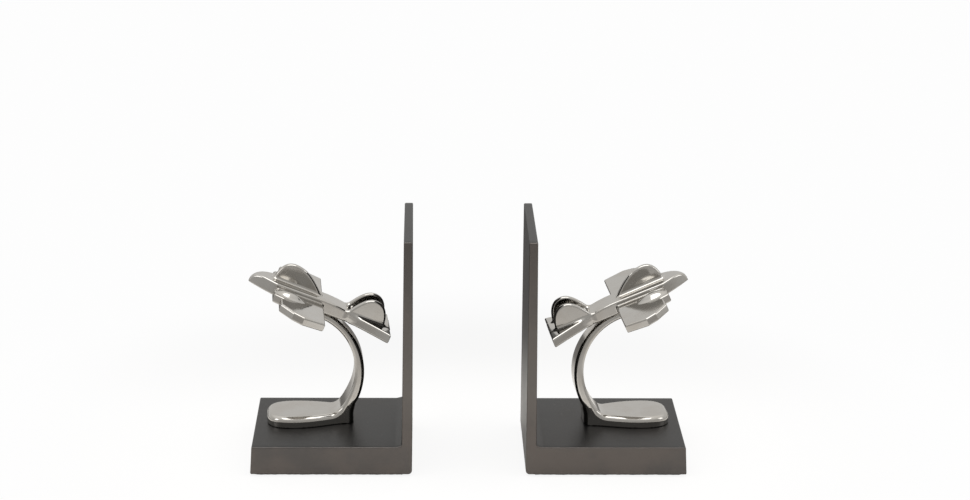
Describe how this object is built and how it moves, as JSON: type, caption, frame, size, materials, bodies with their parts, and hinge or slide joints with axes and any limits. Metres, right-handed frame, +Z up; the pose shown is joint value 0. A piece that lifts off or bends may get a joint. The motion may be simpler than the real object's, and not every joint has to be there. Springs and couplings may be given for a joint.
{
  "type": "book ends",
  "caption": "Pair of weighted L-shaped metal book ends, each with a polished aeroplane on a curved stem standing on its base.",
  "frame": {"origin": "bottom centre of the bounding box of the pair, on the shelf surface midway between the two book faces", "axes": "+X along the shelf from the left book end to the right one, +Y to the back, +Z up"},
  "size_m": [0.3312, 0.1182, 0.1815],
  "materials": {
    "gunmetal_casting": "cast aluminium with a dark gunmetal patina, satin, faces brushed",
    "polished_nickel": "cast aluminium, nickel plated and hand polished to a mirror",
    "steel": "zinc plated steel fasteners",
    "felt": "dark pressed wool felt"
  },
  "bodies": {
    "left_book_end": {"left_base_casting": "gunmetal_casting", "left_base_felt": "felt", "left_foot_and_stem": "polished_nickel", "left_foot_screw_outer": "steel", "left_foot_screw_inner": "steel", "left_foot_washer_outer": "steel", "left_foot_washer_inner": "steel", "left_stem_screw": "steel", "left_aeroplane_body": "polished_nickel", "left_centre_fin": "polished_nickel", "left_tail_fin_port": "polished_nickel", "left_tail_fin_starboard": "polished_nickel", "left_engine_pod_port": "polished_nickel", "left_engine_pod_starboard": "polished_nickel"},
    "right_book_end": {"right_base_casting": "gunmetal_casting", "right_base_felt": "felt", "right_foot_and_stem": "polished_nickel", "right_foot_screw_outer": "steel", "right_foot_screw_inner": "steel", "right_foot_washer_outer": "steel", "right_foot_washer_inner": "steel", "right_stem_screw": "steel", "right_aeroplane_body": "polished_nickel", "right_centre_fin": "polished_nickel", "right_tail_fin_port": "polished_nickel", "right_tail_fin_starboard": "polished_nickel", "right_engine_pod_port": "polished_nickel", "right_engine_pod_starboard": "polished_nickel"}
  },
  "joints": [
    {"name": "slide_along_shelf", "type": "slide", "parent": "left_book_end", "child": "right_book_end", "axis": [1, 0, 0], "range_m": [-0.084, 0.15]}
  ]
}
